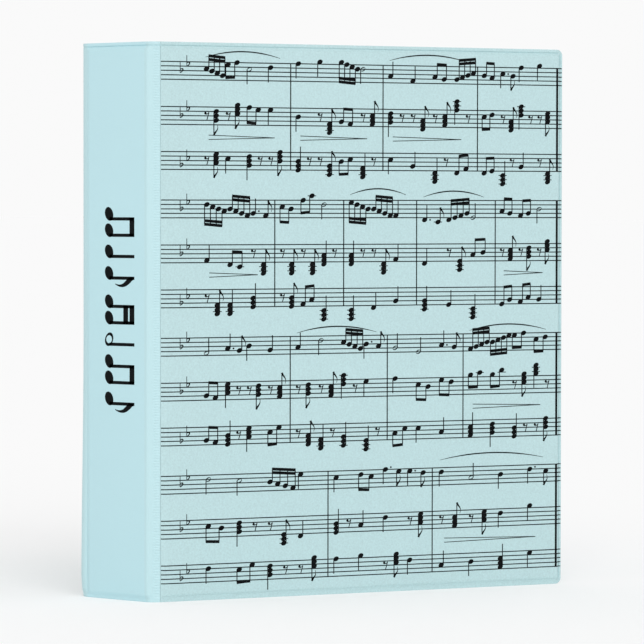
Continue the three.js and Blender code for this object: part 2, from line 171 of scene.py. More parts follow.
@dataclass
class Panel:
    """One board panel's own frame: along it from its start, inwards from its face, and up."""

    body: str
    sizes: CaseSizes
    width: float
    origin: Vector
    across: Vector
    inward: Vector
    start: Edge = Edge.WELD_BAR
    end: Edge = Edge.WELDED

    def point(self, along: float, depth: float, up: float) -> Vector:
        """A point of the panel in metres, in the row frame.

        Args:
            along: Distance across the panel from its start edge, in millimetres.
            depth: Distance inwards from the outer face, in millimetres.
            up: Height above the floor, in millimetres.

        Returns:
            The point in metres.
        """
        place = self.origin + self.across * along + self.inward * depth
        return Vector((place.x * MM, place.y * MM, up * MM))

    def profile(self, kind: Edge) -> list[Point]:
        """The outer surface's section at an edge.

        Args:
            kind: How the edge ends.

        Returns:
            Pairs of inset and depth, from the edge inwards.
        """
        size = self.sizes
        if kind is Edge.FLUSH:
            return list(size.flush)
        climb = shares(size.shoulder_steps)
        if kind is Edge.ROUNDED:
            wide, drop, power = size.rounded_width, size.rounded_drop, size.rounded_power
            return [(wide * t, drop * (1 - t) ** power) for t in climb]
        left = [1 - ease(t) for t in climb]
        deep, crease = size.rim_depth, size.groove
        if kind is Edge.WELD_BAR:
            rim = list(size.bar_rim)
            rise = [size.bar_rim_width + size.hinge_rise * (1 - math.sqrt(part)) for part in left]
        else:
            flat, reach, lead = size.rim_width, size.shoulder, size.groove_lead
            if kind is Edge.FOOT:
                deep, crease = size.foot_depth, 0.0
                reach = size.rim_width + size.shoulder - size.foot_rim
                flat, lead = size.foot_rim, size.foot_crease
            rim = [0.0, *size.rim_break, flat - lead[0], flat - lead[1]]
            rise = [flat + t * reach for t in climb]
        depths = [deep + size.break_drop[0], deep + size.break_drop[1], deep, deep, deep + crease]
        return list(zip(rim + rise, depths + [deep * part for part in left]))

    def relief(self, along: float, up: float) -> float:
        """The outer surface's depth at a place on the panel.

        Args:
            along: Distance across the panel from its start edge.
            up: Height above the floor.

        Returns:
            The depth in millimetres.
        """
        ends = [(along, self.start), ((self.width - along) / self.end_share, self.end)]
        depths = [section_depth(self.profile(kind), distance) for distance, kind in ends]
        return max(self.rim(up), *depths)

    def rim(self, up: float) -> float:
        """The depth that the rims at head and foot give at a height."""
        head = section_depth(self.profile(Edge.WELDED), self.sizes.height - up)
        return max(head, section_depth(self.profile(Edge.FOOT), up))

    @property
    def end_share(self) -> float:
        """How wide the end edge's section is, as a share of the section above and below."""
        return self.sizes.side_share if self.end is Edge.WELDED else 1.0

    def breaks(self) -> list[float]:
        """Finds the places along the panel where the surface changes slope.

        Returns:
            The places in order, in millimetres.
        """
        near = [inset for inset, _ in self.profile(self.start)]
        far = [self.width - inset * self.end_share for inset, _ in self.profile(self.end)]
        return sorted(near + far)

    def outline(self, free: float, hinge: float) -> list[Point]:
        """The outline of a cover drawn in from its edges.

        Args:
            free: Inset from the welded edges above and below, and a share of it from the end.
            hinge: Inset from the edge at the weld bar.

        Returns:
            The corner-rounded outline, with the same number of points for any inset.
        """
        size = self.sizes
        right, left = self.width - free * self.end_share, hinge
        low, high = free, size.height - free
        outer = max(size.corner_radius - free, size.smallest_radius)
        inner = size.smallest_radius
        corners = [
            (right, low, -1, 1, outer, -90),
            (right, high, -1, -1, outer, 0),
            (left, high, 1, -1, inner, 90),
            (left, low, 1, 1, inner, 180),
        ]
        points = []
        for x, z, toward_x, toward_z, radius, first in corners:
            centre_x, centre_z = x + toward_x * radius, z + toward_z * radius
            for i in range(size.corner_steps + 1):
                angle = math.radians(first + 90 * i / size.corner_steps)
                points.append((centre_x + radius * math.cos(angle), centre_z + radius * math.sin(angle)))
        return points


def section_depth(section: list[Point], distance: float) -> float:
    """Reads a section's depth at a distance from its edge.

    Args:
        section: Pairs of inset and depth, from the edge inwards.
        distance: The distance from the edge.

    Returns:
        The depth, and 0 past the section's end.
    """
    if distance <= section[0][0]:
        return section[0][1]
    for near, far in zip(section, section[1:]):
        if distance <= far[0]:
            share = (distance - near[0]) / (far[0] - near[0])
            return near[1] + share * (far[1] - near[1])
    return 0.0


def make_panels(size: CaseSizes) -> dict[str, Panel]:
    """Lays out the three panels' frames.

    Args:
        size: The case's sizes.

    Returns:
        The panels by name: spine, front and back.
    """
    spine_origin = Vector((-size.spine_width / 2, size.face_y, 0))
    ahead, inward = Vector((1, 0, 0)), Vector((0, 1, 0))
    panels = {
        "spine": Panel(
            "spine", size, size.spine_width, spine_origin, ahead, inward, Edge.ROUNDED, Edge.FLUSH
        )
    }
    bend, radius = size.bend, size.bend_radius
    end_x = size.spine_width / 2 + radius * math.sin(bend)
    end_y = size.face_y + size.rim_middle + radius * (1 - math.cos(bend))
    for side in Side:
        sign = side.value
        inward = Vector((-sign * math.cos(size.ajar), math.sin(size.ajar), 0))
        across = Vector((sign * math.sin(size.ajar), math.cos(size.ajar), 0))
        origin = Vector((sign * end_x, end_y, 0)) - inward * size.rim_middle
        name = side.name.lower()
        panels[name] = Panel(f"{name}_cover", size, size.cover_width, origin, across, inward)
    return panels


# Finishes


@dataclass
class Nodes:
    """A small helper that adds and links shader nodes."""

    tree: bpy.types.NodeTree

    def add(self, kind: str, inputs: dict | None = None, **settings) -> bpy.types.Node:
        """Adds one node.

        Args:
            kind: The node's type name.
            inputs: Socket name or index to a value, or to the socket that feeds it.
            **settings: Attributes of the node.

        Returns:
            The new node.
        """
        node = self.tree.nodes.new(kind)
        for key, value in settings.items():
            setattr(node, key, value)
        for key, value in (inputs or {}).items():
            if isinstance(value, Socket):
                self.tree.links.new(value, node.inputs[key])
            else:
                node.inputs[key].default_value = value
        return node

    def math(self, operation: str, first: object, second: object = 0.0) -> Socket:
        """A math node's result."""
        return self.add("ShaderNodeMath", {0: first, 1: second}, operation=operation).outputs[0]

    def scaled(self, value: Socket, factor: float, plus: object) -> Socket:
        """A value times a factor, plus a number or another value."""
        return self.math("ADD", self.math("MULTIPLY", value, factor), plus)

    def noise(self, place: Socket, scale: float, detail: float, roughness: float = 0.5) -> Socket:
        """A noise pattern's value."""
        inputs = {"Vector": place, "Scale": scale, "Detail": detail, "Roughness": roughness}
        return self.add("ShaderNodeTexNoise", inputs).outputs["Fac"]

    def bump(self, height: Socket, distance: float, strength: float) -> Socket:
        """The normal that a height pattern gives, with its distance in millimetres."""
        inputs = {"Height": height, "Distance": distance * MM, "Strength": strength}
        return self.add("ShaderNodeBump", inputs).outputs["Normal"]

    def ramp(self, value: Socket, stops: Point, first: Color, last: Color) -> Socket:
        """A colour that runs from one to another as a value rises.

        Args:
            value: The value that drives it.
            stops: The values at which the run starts and ends.
            first: The colour at its start.
            last: The colour at its end.

        Returns:
            The colour.
        """
        node = self.add("ShaderNodeValToRGB", {"Fac": value})
        for element, position, color in zip(node.color_ramp.elements, stops, (first, last)):
            element.position = position
            element.color = (*color, 1)
        return node.outputs["Color"]

    def mix(self, share: Socket, first: bpy.types.Node, second: bpy.types.Node) -> bpy.types.Node:
        """A mix of two shaders, from the first to the second."""
        return self.add("ShaderNodeMixShader", {0: share, 1: first.outputs[0], 2: second.outputs[0]})


def new_material(name: str) -> tuple[bpy.types.Material, Nodes]:
    """Makes an empty node material.

    Args:
        name: The material's name.

    Returns:
        The material and the helper for its nodes.
    """
    material = bpy.data.materials.new(name)
    material.use_nodes = True
    material.node_tree.nodes.clear()
    return material, Nodes(material.node_tree)


@dataclass(frozen=True)
class Finish(ABC):
    """A finish whose colour and gloss vary over the piece."""

    name: str
    color: Color

    def build(self) -> bpy.types.Material:
        """Builds the material's nodes.

        Returns:
            The material.
        """
        material, nodes = new_material(self.name)
        place = nodes.add("ShaderNodeTexCoord").outputs["Object"]
        shader = nodes.add("ShaderNodeBsdfPrincipled", self.surface(nodes, place))
        nodes.add("ShaderNodeOutputMaterial", {"Surface": shader.outputs["BSDF"]})
        return material

    def tint(self, factor: float) -> Color:
        """The finish's colour made darker or lighter."""
        return tuple(min(1, part * factor) for part in self.color)

    @abstractmethod
    def surface(self, nodes: Nodes, place: Socket) -> dict[str, object]:
        """Adds the finish's patterns.

        Args:
            nodes: The material's nodes.
            place: The place on the piece, in metres.

        Returns:
            The shader's inputs by name.
        """


@dataclass(frozen=True)
class VinylFinish(Finish):
    """Soft welded vinyl: a fine grain, slight mottling and a satin gloss."""

    mottle: float = 0.03
    cloud: float = 0.3
    cloud_size: float = 38.0
    stops: Point = (0.25, 0.8)
    grain_size: float = 0.35
    grain_depth: float = 0.10
    weave: float = 0.0
    weave_pitch: float = 0.55
    weave_height: float = 0.8
    weave_grain: float = 0.6
    weave_mottle: float = 0.7
    roughness: float = 0.48
    gloss_spread: float = 0.16
    specular: float = 0.35
    across: Triple = (1.0, 0.0, 0.0)

    def surface(self, nodes: Nodes, place: Socket) -> dict[str, object]:
        """Adds the vinyl's grain, clouds and emboss.

        Args:
            nodes: The material's nodes.
            place: The place on the piece, in metres.

        Returns:
            The shader's inputs by name.
        """
        grain = nodes.noise(place, 1 / (self.grain_size * MM), 3.0, 0.6)
        clouds = nodes.noise(place, 1 / (self.cloud_size * MM), 2.0)
        height = grain
        shade = nodes.scaled(grain, 1 - self.cloud, nodes.math("MULTIPLY", clouds, self.cloud))
        if self.weave > 0:
            threads = self._threads(nodes, place)
            raised = nodes.math("MULTIPLY", threads, self.weave_height)
            height = nodes.scaled(grain, self.weave_grain, raised)
            shade = nodes.scaled(shade, self.weave_mottle, nodes.math("MULTIPLY", threads, self.weave))
        dark, light = self.tint(1 - 2 * self.mottle), self.tint(1 + self.mottle)
        return {
            "Base Color": nodes.ramp(shade, self.stops, dark, light),
            "Roughness": nodes.scaled(grain, self.gloss_spread, self.roughness - self.gloss_spread / 2),
            "Normal": nodes.bump(height, self.grain_depth, 0.6),
            "Specular IOR Level": self.specular,
        }

    def _threads(self, nodes: Nodes, place: Socket) -> Socket:
        """Adds crossed threads, as in a canvas emboss, along the panel and up it.

        Args:
            nodes: The material's nodes.
            place: The place on the piece, in metres.

        Returns:
            The threads' height, from 0 to 1.
        """
        along = nodes.add("ShaderNodeVectorMath", {0: place, 1: self.across}, operation="DOT_PRODUCT")
        parts = nodes.add("ShaderNodeSeparateXYZ", {"Vector": place})
        turn = 2 * math.pi / (self.weave_pitch * MM)
        warp = nodes.math("SINE", nodes.math("MULTIPLY", along.outputs["Value"], turn))
        weft = nodes.math("SINE", nodes.math("MULTIPLY", parts.outputs["Z"], turn))
        return nodes.scaled(nodes.math("MULTIPLY", warp, weft), 0.5, 0.5)


@dataclass(frozen=True)
class PlatedFinish(Finish):
    """Bright plated steel with fine drawn scratches."""

    color: Color = (0.72, 0.73, 0.74)
    roughness: float = 0.2
    scratch_scale: Triple = (4000.0, 4000.0, 60.0)
    scratch_depth: float = 0.004
    scratch_spread: float = 0.14
    haze_scale: float = 140.0
    haze_spread: float = 0.08
    haze_tint: float = 0.92

    def surface(self, nodes: Nodes, place: Socket) -> dict[str, object]:
        """Adds the plating's scratches and haze.

        Args:
            nodes: The material's nodes.
            place: The place on the piece, in metres.

        Returns:
            The shader's inputs by name.
        """
        drawn = nodes.add("ShaderNodeVectorMath", {0: place, 1: self.scratch_scale}, operation="MULTIPLY")
        scratches = nodes.noise(drawn.outputs["Vector"], 1.0, 4.0, 0.7)
        haze = nodes.noise(place, self.haze_scale, 3.0)
        hazed = nodes.math("MULTIPLY", haze, self.haze_spread)
        spread = nodes.scaled(scratches, self.scratch_spread, hazed)
        middle = (self.scratch_spread + self.haze_spread) / 2
        return {
            "Base Color": nodes.ramp(haze, (0.0, 1.0), self.tint(self.haze_tint), self.color),
            "Metallic": 1.0,
            "Roughness": nodes.math("ADD", spread, self.roughness - middle),
            "Normal": nodes.bump(scratches, self.scratch_depth, 0.5),
        }


@dataclass(frozen=True)
class BoardFinish(Finish):
    """Grey-brown chipboard with pressed fibres."""

    color: Color = (0.4, 0.33, 0.22)
    fibre_scale: float = 900.0
    fibre_depth: float = 0.1
    tints: Point = (0.7, 1.2)

    def surface(self, nodes: Nodes, place: Socket) -> dict[str, object]:
        """Adds the board's fibres.

        Args:
            nodes: The material's nodes.
            place: The place on the piece, in metres.

        Returns:
            The shader's inputs by name.
        """
        fibre = nodes.noise(place, self.fibre_scale, 6.0, 0.7)
        dark, light = self.tint(self.tints[0]), self.tint(self.tints[1])
        return {
            "Base Color": nodes.ramp(fibre, (0.0, 1.0), dark, light),
            "Roughness": 0.9,
            "Normal": nodes.bump(fibre, self.fibre_depth, 0.6),
        }


@dataclass(frozen=True)
class InkFinish(Finish):
    """Black printing ink, a little uneven."""

    color: Color = (0.0015, 0.0022, 0.0026)
    cover_scale: float = 1600.0
    thin_tint: float = 2.2
    stops: Point = (0.3, 0.8)
    lowest_roughness: float = 0.43
    roughness_spread: float = 0.15
    specular: float = 0.08

    def surface(self, nodes: Nodes, place: Socket) -> dict[str, object]:
        """Adds the ink's uneven cover.

        Args:
            nodes: The material's nodes.
            place: The place on the piece, in metres.

        Returns:
            The shader's inputs by name.
        """
        cover = nodes.noise(place, self.cover_scale, 3.0, 0.6)
        return {
            "Base Color": nodes.ramp(cover, self.stops, self.color, self.tint(self.thin_tint)),
            "Roughness": nodes.scaled(cover, self.roughness_spread, self.lowest_roughness),
            "Specular IOR Level": self.specular,
        }


# Meshes


def mesh_object(
    name: str,
    vertices: list[Vector],
    faces: list[Face],
    material: bpy.types.Material,
    smooth_angle: float | None = None,
) -> bpy.types.Object:
    """Makes a mesh object with outward faces.

    Args:
        name: The object's name.
        vertices: Points in metres.
        faces: Vertex numbers of each face.
        material: Its material.
        smooth_angle: Edges sharper than this many degrees stay sharp, and None keeps all flat.

    Returns:
        The object, linked to the scene.
    """
    mesh = bpy.data.meshes.new(name)
    mesh.from_pydata([tuple(v) for v in vertices], [], faces)
    work = bmesh.new()
    work.from_mesh(mesh)
    bmesh.ops.recalc_face_normals(work, faces=work.faces)
    work.to_mesh(mesh)
    work.free()
    mesh.materials.append(material)
    piece = bpy.data.objects.new(name, mesh)
    bpy.context.scene.collection.objects.link(piece)
    if smooth_angle is not None:
        mesh.shade_smooth()
        mesh.set_sharp_from_angle(angle=math.radians(smooth_angle))
    return piece


def loft(rings: list[list[Vector]]) -> Shell:
    """Joins closed rings with the same number of points into one closed solid.

    Args:
        rings: The rings in order.

    Returns:
        The vertices and faces.
    """
    count = len(rings[0])
    vertices = [point for ring in rings for point in ring]
    last = (len(rings) - 1) * count
    faces = []
    for near in range(0, last, count):
        far = near + count
        for k in range(count):
            following = (k + 1) % count
            faces.append((near + k, near + following, far + following, far + k))
    faces.append(tuple(range(count)))
    faces.append(tuple(range(last, last + count)))
    return vertices, faces


# Case


@dataclass
class Case:
    """The three dressed panels with their linings, boards and pockets."""

    sizes: CaseSizes
    panels: dict[str, Panel]
    spine_color: Color = (0.495, 0.727, 0.777)
    cover_color: Color = (0.504, 0.694, 0.714)
    lining_color: Color = (0.56, 0.77, 0.81)
    pocket_color: Color = (0.6, 0.8, 0.84)
    skin_thickness: float = 0.4
    skin_gap: float = 0.08
    inner_inset: float = 0.2

    def build(self) -> None:
        """Builds the three skins and dresses the nodes that stay."""
        for name, panel in self.panels.items():
            self._skin(name, panel)
        lining = VinylFinish("lining vinyl", self.lining_color, grain_size=0.6).build()
        sheet = VinylFinish("pocket vinyl", self.pocket_color, grain_size=0.8, roughness=0.4).build()
        board = BoardFinish("chipboard").build()
        for name in self.panels:
            dress(f"{name}_liner", lining)
            dress(f"{name}_board", board)
            if name != "spine":
                dress(f"{name}_pocket", sheet)

    def _skin(self, name: str, panel: Panel) -> None:
        """Builds one panel's outer vinyl over its board, with its rim and soft shoulders.

        Args:
            name: The panel's name.
            panel: Its frame.
        """
        printed = name != "spine"
        finish = VinylFinish(
            f"{name} vinyl",
            self.cover_color if printed else self.spine_color,
            weave=0.3 if printed else 0.0,
            mottle=0.1 if printed else 0.015,
            grain_size=0.75 if printed else 0.35,
            cloud=0.1 if printed else 0.3,
            across=tuple(panel.across),
        )
        vertices, faces = self._cover_shell(panel) if printed else self._spine_shell(panel)
        skin = mesh_object(f"{name}_vinyl", vertices, faces, finish.build(), smooth_angle=40)
        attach(skin, panel.body)
        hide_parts(f"{name}_skin")
        LOG.info("built %s with %d faces", skin.name, len(faces))

    @property
    def _deepest(self) -> float:
        """The depth of the skin's inner side at its rim, just clear of the lining."""
        return self.sizes.rim_depth + self.skin_thickness + self.skin_gap

    def _cover_shell(self, panel: Panel) -> Shell:
        """A cover's skin, as rings from its middle out over its rim and back inside.

        Args:
            panel: The cover's frame.

        Returns:
            The vertices and faces.
        """
        rings = []
        insets = [
            (free, hinge)
            for (free, _), (hinge, _) in zip(panel.profile(Edge.WELDED), panel.profile(Edge.WELD_BAR))
        ]
        for free, hinge in reversed(insets):
            rings.append([panel.point(x, panel.relief(x, z), z) for x, z in panel.outline(free, hinge)])
        inside = [
            (0.0, 0.0, self._deepest),
            (self.sizes.rim_width, self.inner_inset, self._deepest),
            (*insets[-1], self.skin_thickness),
        ]
        for free, hinge, depth in inside:
            rings.append([panel.point(x, depth, z) for x, z in panel.outline(free, hinge)])
        return loft(rings)

    def _spine_shell(self, panel: Panel) -> Shell:
        """The spine's skin, as a grid whose lines follow the sections of its four edges.

        Args:
            panel: The spine's frame.

        Returns:
            The vertices and faces.
        """
        head = [self.sizes.height - inset for inset, _ in panel.profile(Edge.WELDED)]
        ups = [inset for inset, _ in panel.profile(Edge.FOOT)] + head[::-1]
        rings = []
        for up in ups:
            row = [(along, panel.relief(along, up)) for along in panel.breaks()]
            ring = [panel.point(along, depth, up) for along, depth in row]
            for along, depth in reversed(row):
                ring.append(panel.point(along, min(depth + self.skin_thickness, self._deepest), up))
            rings.append(ring)
        return loft(rings)


def dress(node: str, material: bpy.types.Material) -> None:
    """Gives a carried-over node its material.

    Args:
        node: The node's name.
        material: The material.
    """
    piece = frame["nodes"][node]
    piece.data.materials.clear()
    piece.data.materials.append(material)
    LOG.info("dressed %s with %s", node, material.name)


@dataclass
class HingeStrip:
    """The fused strip between spine and cover, with the ribs of its weld bar.

    In front it runs on flat from the spine and then straight to the cover. Behind it is slack and bulges.
    """

    sizes: CaseSizes
    side: Side
    panel: Panel
    rib_pitch: float = 1.12
    rib_height: float = 0.18
    bar_start: float = 3.0
    bar_end: float = 5.6
    bar_ease: float = 0.3
    bar_press: float = 0.18
    run_on: float = 1.46
    softening: float = 0.55
    inset: float = 0.03
    bulge: float = 1.05
    bulge_top: float = 115.0
    bulge_foot: float = 9.0
    bulge_power: float = 0.7
    outer_columns: int = 22
    inner_columns: int = 6
    rows_per_rib: int = 5
    seam: float = 0.02
    spine_seam: float = 0.002

    def build(self, material: bpy.types.Material) -> None:
        """Builds the strip and blends it between the spine and its cover.

        Args:
            material: The strip's vinyl.
        """
        size = self.sizes
        rows = round(size.height / self.rib_pitch) * self.rows_per_rib
        outside = self._places(self.outer_columns)
        inside = self._places(self.inner_columns)[::-1]
        rings = []
        for row in range(rows + 1):
            up = size.height * row / rows
            ridge = 0.5 - 0.5 * math.cos(2 * math.pi * row / self.rows_per_rib)
            ring = [self._point(along, self._outer(along, up, ridge), up) for along in outside]
            ring += [self._point(along, -size.rim_thickness / 2, up) for along in inside]
            rings.append(ring)
        vertices, faces = loft(rings)
        name = "front_hinge_strip" if self.side is Side.FRONT else "rear_hinge_strip"
        strip = mesh_object(f"{name}_vinyl", vertices, faces, material, smooth_angle=50)
        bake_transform(strip)
        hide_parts(name)
        LOG.info("built %s with %d faces", strip.name, len(faces))

    def _places(self, columns: int) -> list[float]:
        """Even steps along the strip, just short of its neighbours."""
        length = self.sizes.hinge_length - self.spine_seam - self.seam
        return [self.spine_seam + length * i / columns for i in range(columns + 1)]

    def _outer(self, along: float, up: float, ridge: float) -> float:
        """How far the outer surface lies outside the strip's middle line.

        Args:
            along: Distance along the strip from the spine.
            up: Height above the floor.
            ridge: From 0 in a valley of the weld bar's ribs to 1 on a rib.

        Returns:
            The distance in millimetres.
        """
        size = self.sizes
        half = size.rim_thickness / 2
        turned = along / size.bend_radius
        full = self._taut(turned) if self.side is Side.FRONT else self._slack(turned, up)
        rim = self.panel.rim(up)
        share = max(0.0, 1 - rim / size.rim_depth)
        half -= max(0.0, min(rim - size.rim_depth, size.groove))
        into = min(along - self.bar_start, self.bar_end - along) / self.bar_ease
        pressed = max(0.0, min(1.0, into)) * (self.bar_press - self.rib_height * ridge)
        return half + share * (full - half - pressed)

    def _taut(self, turned: float) -> float:
        """The front strip's outer surface: flat from the spine's face, then straight to the cover.

        Args:
            turned: The angle that the strip has turned through.

        Returns:
            The distance outside the strip's middle line.
        """
        size = self.sizes
        radius = size.bend_radius
        outer = radius + size.rim_thickness / 2
        reach = radius + size.rim_middle
        flat = reach / math.cos(turned)
        edge_x = outer * math.sin(size.bend)
        edge_y = reach - outer * math.cos(size.bend)
        slope = math.atan2(edge_y, edge_x - self.run_on)
        away = outer * math.cos(size.bend - slope)
        straight = away / math.cos(turned - slope)
        near = max(self.softening - abs(flat - straight), 0) / self.softening
        return min(flat, straight) - near * near * self.softening / 4 - radius - self.inset

    def _slack(self, turned: float, up: float) -> float:
        """The rear strip's outer surface, which leaves the spine's rounded edge and bulges low down.

        Args:
            turned: The angle that the strip has turned through.
            up: Height above the floor.

        Returns:
            The distance outside the strip's middle line.
        """
        size = self.sizes
        half = size.rim_thickness / 2
        share = turned / size.bend
        raised = size.rim_middle - size.rounded_drop - half
        low = max(0.0, min(1.0, (self.bulge_top - up) / self.bulge_top))
        swell = self.bulge * ease(low) * math.sin(math.pi * share) ** self.bulge_power
        swell *= math.sqrt(min(1.0, up / self.bulge_foot))
        return half + raised * (1 - share) ** 2 + swell

    def _point(self, along: float, outward: float, up: float) -> Vector:
        """A point beside the strip's middle line.

        Args:
            along: Distance along the strip from the spine, in millimetres.
            outward: Distance outside its middle line.
            up: Height above the floor.

        Returns:
            The point in metres.
        """
        size = self.sizes
        turned = along / size.bend_radius
        reach = size.bend_radius + outward
        x = size.spine_width / 2 + reach * math.sin(turned)
        y = size.face_y + size.rim_middle + size.bend_radius - reach * math.cos(turned)
        return Vector((self.side.value * x * MM, y * MM, up * MM))


# Print: ink laid on a panel as thin closed prisms that follow its relief


def tilted(centre: Point, tilt: float, run: float, rise: float) -> Point:
    """A point beside a centre, in axes that are tilted by some degrees.

    Args:
        centre: The centre.
        tilt: The axes' tilt in degrees.
        run: Distance along the tilted first axis.
        rise: Distance along the tilted second axis.

    Returns:
        The point.
    """
    turn = math.radians(tilt)
    cos, sin = math.cos(turn), math.sin(turn)
    return centre[0] + run * cos - rise * sin, centre[1] + run * sin + rise * cos


@dataclass
class Ink:
    """Collects printed shapes on one panel."""

    panel: Panel
    mirrored: bool = False
    proud: float = 0.03
    sunk: float = 0.03
    oval_steps: int = 10
    hollow_steps: int = 16
    thinnest: float = 0.02
    touching: float = 1e-6
    vertices: list[Vector] = field(default_factory=list)
    faces: list[Face] = field(default_factory=list)

    def strip(self, stations: list[tuple[Point, Point]]) -> None:
        """Adds a band through pairs of points, one on each side.

        Args:
            stations: At each step along the band its left and right point.
        """
        first = len(self.vertices)
        for station in stations:
            for x, z in station:
                x = self._along(x)
                depth = self.panel.relief(x, z)
                self.vertices.append(self.panel.point(x, depth - self.proud, z))
                self.vertices.append(self.panel.point(x, depth + self.sunk, z))
        last = first + 4 * (len(stations) - 1)
        for a in range(first, last, 4):
            b = a + 4
            self.faces.append((a, a + 2, b + 2, b))
            self.faces.append((a + 1, b + 1, b + 3, a + 3))
            self.faces.append((a, b, b + 1, a + 1))
            self.faces.append((a + 2, a + 3, b + 3, b + 2))
        self.faces.append((first, first + 1, first + 3, first + 2))
        self.faces.append((last, last + 2, last + 3, last + 1))

    def _along(self, x: float) -> float:
        """Turns a place counted in reading direction into one counted from the panel's start."""
        return self.panel.width - x if self.mirrored else x

    def stroke(self, path: list[Point], widths: list[float]) -> None:
        """Adds a pen stroke.

        Args:
            path: The points that it follows.
            widths: Its width at each of them.
        """
        stations = []
        for i, (x, z) in enumerate(path):
            before, after = path[max(i - 1, 0)], path[min(i + 1, len(path) - 1)]
            run = Vector((after[0] - before[0], after[1] - before[1])).normalized()
            half = widths[i] / 2
            stations.append(((x - run.y * half, z + run.x * half), (x + run.y * half, z - run.x * half)))
        self.strip(stations)

    def line(self, start: Point, end: Point, width: float) -> None:
        """Adds a straight stroke, with a step wherever the panel's surface changes slope.

        Args:
            start: Where it starts.
            end: Where it ends.
            width: Its width.
        """
        path = [start]
        if abs(end[0] - start[0]) > self.touching:
            low, high = sorted((start[0], end[0]))
            breaks = sorted(self._along(b) for b in self.panel.breaks())
            inside = [b for b in breaks if low + self.touching < b < high - self.touching]
            for place in inside if end[0] > start[0] else reversed(inside):
                share = (place - start[0]) / (end[0] - start[0])
                path.append((place, start[1] + share * (end[1] - start[1])))
        path.append(end)
        self.stroke(path, [width] * len(path))

    def upright(self, x: float, start: float, end: float, width: float) -> None:
        """Adds an upright stroke at a place, between two heights."""
        self.line((x, start), (x, end), width)

    def oval(self, centre: Point, size: Point, tilt: float = 0.0) -> None:
        """Adds a filled oval.

        Args:
            centre: Its centre.
            size: Its length and breadth.
            tilt: Its tilt in degrees.
        """
        stations = []
        for i in range(self.oval_steps + 1):
            angle = math.pi * i / self.oval_steps
            run = -0.5 * size[0] * math.cos(angle)
            half = max(0.5 * size[1] * math.sin(angle), self.thinnest)
            stations.append((tilted(centre, tilt, run, half), tilted(centre, tilt, run, -half)))
        self.strip(stations)

    def hollow(self, centre: Point, size: Point, tilt: float, pen: float) -> None:
        """Adds an oval outline.

        Args:
            centre: Its centre.
            size: Its length and breadth.
            tilt: Its tilt in degrees.
            pen: The outline's width at its broad sides, twice that at its ends.
        """
        stations = []
        for i in range(self.hollow_steps + 1):
            angle = 2 * math.pi * i / self.hollow_steps
            pair = []
            for shrink in (0.0, pen):
                run = (0.5 * size[0] - 0.5 * shrink) * math.cos(angle)
                rise = (0.5 * size[1] - shrink) * math.sin(angle)
                pair.append(tilted(centre, tilt, run, rise))
            stations.append((pair[0], pair[1]))
        self.strip(stations)

    def curve(self, points: list[Point], widths: tuple[float, ...], steps: int) -> None:
        """Adds a smooth stroke.

        Args:
            points: A cubic curve's four control points.
            widths: Its widths at even steps.
            steps: The number of pieces that it is drawn in.
        """
        path, pens = [], []
        for i in range(steps + 1):
            t = i / steps
            weights = ((1 - t) ** 3, 3 * t * (1 - t) ** 2, 3 * t * t * (1 - t), t**3)
            path.append(tuple(sum(w * p[axis] for w, p in zip(weights, points)) for axis in (0, 1)))
            place = t * (len(widths) - 1)
            low = min(int(place), len(widths) - 2)
            pens.append(widths[low] + (place - low) * (widths[low + 1] - widths[low]))
        self.stroke(path, pens)

    def finish(self, name: str, material: bpy.types.Material, slot: str) -> None:
        """Makes the collected ink one piece that rides on its panel's body.

        Args:
            name: The piece's name.
            material: The ink.
            slot: Not used.
        """
        piece = mesh_object(name, self.vertices, self.faces, material)
        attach(piece, self.panel.body)
        LOG.info("printed %s with %d faces", name, len(self.faces))


class Beat(Enum):
    """The kinds of figure that fill a beat of a bar."""

    QUARTER = "quarter"
    EIGHTHS = "eighths"
    DOTTED = "dotted"
    OFFBEAT = "offbeat"
    CHORD = "chord"
    HALF = "half"
    RUN = "run"


STAFF_BEATS = (
    (Beat.QUARTER, Beat.EIGHTHS, Beat.DOTTED, Beat.RUN, Beat.HALF),
    (Beat.OFFBEAT, Beat.CHORD, Beat.EIGHTHS, Beat.OFFBEAT, Beat.QUARTER),
    (Beat.CHORD, Beat.OFFBEAT, Beat.EIGHTHS, Beat.CHORD, Beat.QUARTER),
)


@dataclass(frozen=True)
class Stroke:
    """A curved part of a sign: control points from its root, pen widths and steps."""

    points: tuple[Point, ...]
    pens: tuple[float, ...]
    steps: int

    def draw(self, ink: Ink, x: float, z: float, rise: int = 1) -> None:
        """Draws the stroke.

        Args:
            ink: Where it is drawn.
            x: Its root's place along the panel.
            z: Its root's height.
            rise: 1 to draw it upwards, -1 to draw it upside down.
        """
        ink.curve([(x + right, z + rise * up) for right, up in self.points], self.pens, self.steps)


FLAG = Stroke(((0.0, 0.0), (0.4, 1.6), (2.6, 2.2), (1.5, 4.6)), (0.9, 0.7, 0.35, 0.15), 7)
REST_HOOK = Stroke(((-0.6, -0.4), (0.2, -0.5), (0.8, -0.2), (1.1, 0.4)), (0.35, 0.35), 5)
FLAT_BOWL = Stroke(((0.0, 0.5), (1.4, 1.3), (2.0, 0.1), (0.0, -0.95)), (0.3, 0.6, 0.5, 0.3), 8)
SLUR_PENS = (0.15, 0.5, 0.55, 0.5, 0.15)


